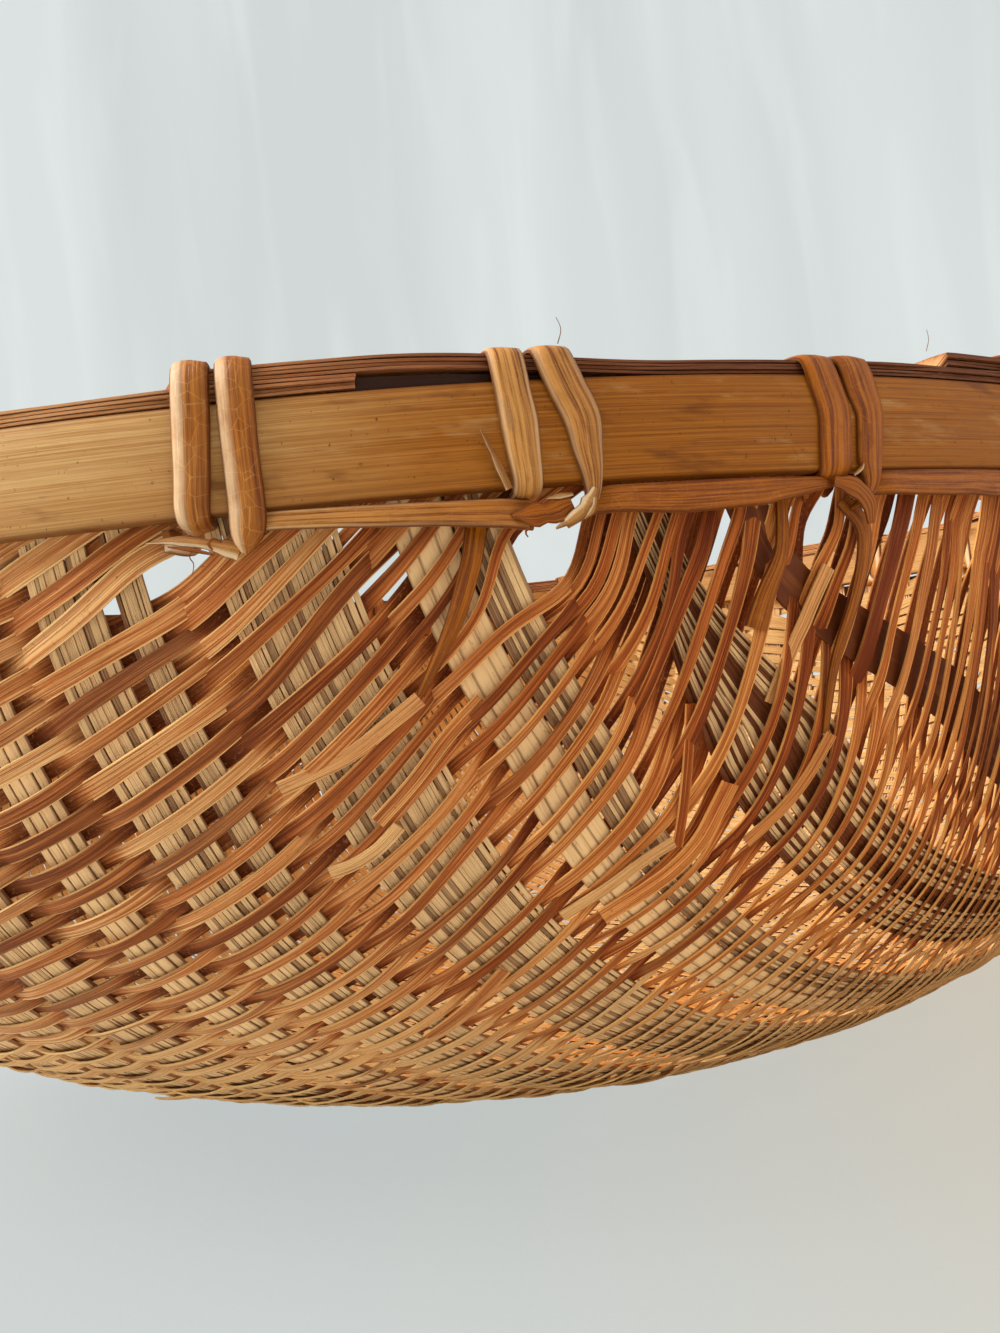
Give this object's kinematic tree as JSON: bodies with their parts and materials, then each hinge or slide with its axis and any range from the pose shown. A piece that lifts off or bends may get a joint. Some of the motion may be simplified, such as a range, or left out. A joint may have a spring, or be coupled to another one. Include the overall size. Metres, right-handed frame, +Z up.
{
  "type": "winnowing basket",
  "caption": "Deep oval basket woven from fine bamboo splits over flat ribs, with a two-hoop rim, laid filler strips and rattan lashing.",
  "frame": {"origin": "middle of the resting face under the bowl, which is the bottom centre of the bounding box", "axes": "+X across the ribs, +Y along the ribs and the oval's long way, +Z up out of the bowl's mouth"},
  "size_m": [0.4788, 0.5986, 0.1859],
  "materials": {
    "hoop": "split bamboo, matt with fine grain",
    "filler": "split bamboo edges, matt",
    "weave": "hair-fine split bamboo, satin",
    "rib": "split bamboo pith side, fibrous",
    "rattan": "split rattan skin, glossy"
  },
  "bodies": {
    "root": {"outer_hoop": "hoop", "inner_hoop": "hoop", "woven_body": "weave", "rib_01": "rib", "rib_02": "rib", "rib_03": "rib", "rib_04": "rib", "rib_05": "rib", "rib_06": "rib", "rib_07": "rib", "rib_08": "rib", "rib_09": "rib", "rib_10": "rib", "rib_11": "rib", "rib_12": "rib", "rib_13": "rib", "rib_14": "rib", "rib_15": "rib", "rib_16": "rib", "rib_17": "rib", "rib_18": "rib", "rib_19": "rib", "rib_20": "rib", "rib_21": "rib", "rib_22": "rib", "filler_01": "filler", "filler_02": "filler", "filler_03": "filler", "filler_04": "filler", "filler_05": "filler", "filler_06": "filler", "filler_07": "filler", "filler_08": "filler", "filler_09": "filler", "filler_10": "filler", "lashing_01": "rattan", "lashing_02": "rattan", "lashing_03": "rattan", "lashing_04": "rattan", "lashing_05": "rattan", "lashing_06": "rattan", "lashing_07": "rattan", "lashing_08": "rattan", "lashing_09": "rattan", "lashing_10": "rattan", "lashing_11": "rattan", "lashing_12": "rattan", "lashing_13": "rattan"}
  },
  "joints": []
}
